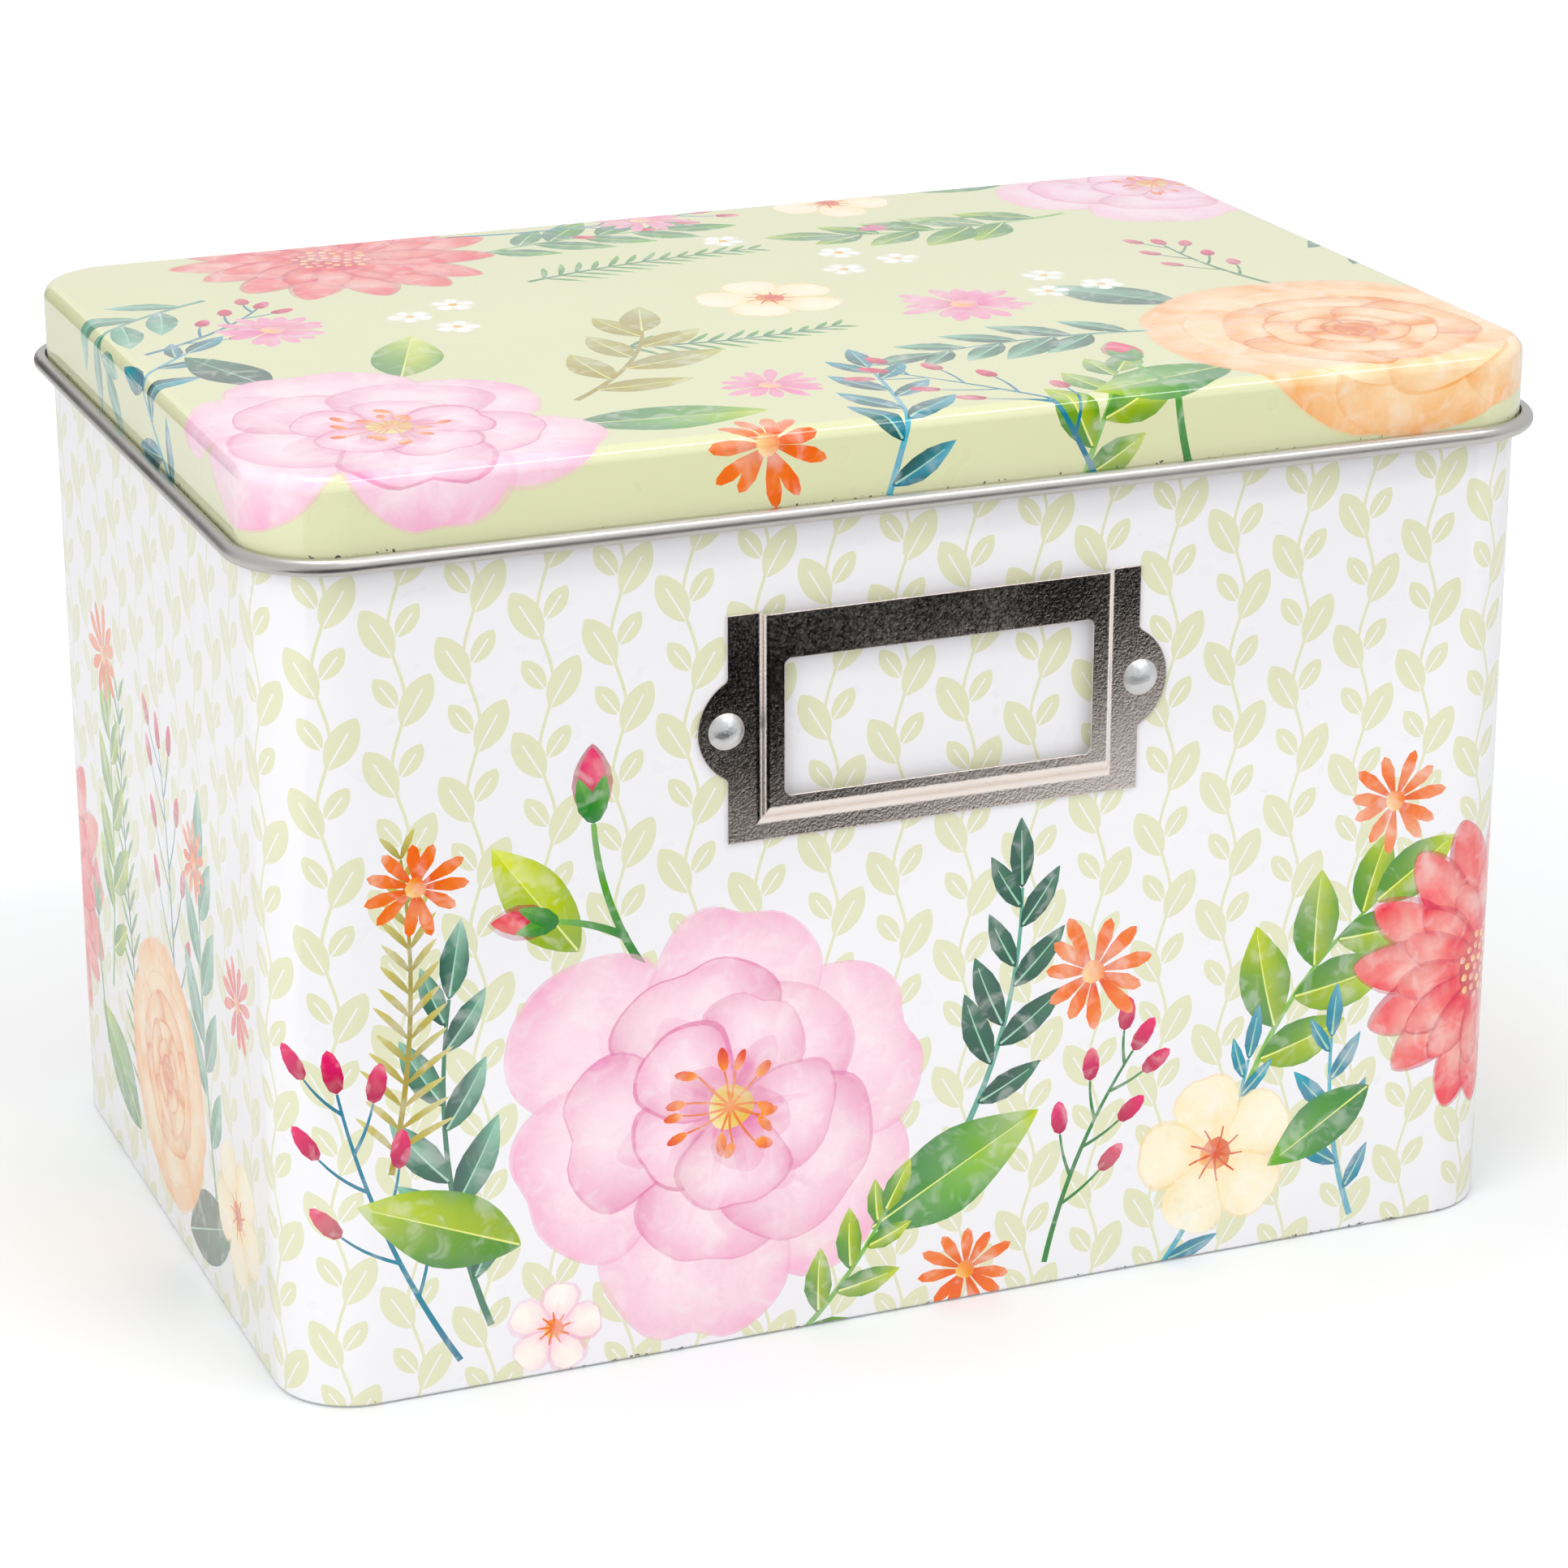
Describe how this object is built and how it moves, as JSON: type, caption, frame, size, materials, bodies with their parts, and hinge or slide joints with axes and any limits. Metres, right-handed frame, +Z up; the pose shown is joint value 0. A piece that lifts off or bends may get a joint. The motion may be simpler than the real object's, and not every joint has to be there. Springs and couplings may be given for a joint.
{
  "type": "recipe card box",
  "caption": "Rectangular printed tinplate box for recipe cards, with a slip-on lid, rolled edges and a riveted metal label holder on the front.",
  "frame": {"origin": "centre of the footprint, on the surface that the box stands on", "axes": "+Z up, along the way the lid lifts; -Y out of the front wall with the label holder; +X to the right as seen from the front, along the width"},
  "size_m": [0.17, 0.114, 0.1166],
  "materials": {
    "printed_body": "gloss print on tinplate",
    "bare_tin": "bright tin",
    "printed_lid": "gloss print on tinplate",
    "nickel_plate": "bright nickel",
    "rivet_metal": "satin"
  },
  "bodies": {
    "box": {"body_wall": "printed_body", "base_plate": "bare_tin", "label_holder": "nickel_plate", "rivet_left": "rivet_metal", "rivet_right": "rivet_metal"},
    "lid": {"lid": "printed_lid"}
  },
  "joints": [
    {"name": "lid_lift", "type": "slide", "parent": "box", "child": "lid", "axis": [0, 0, 1], "range_m": [0, 0.06]}
  ]
}
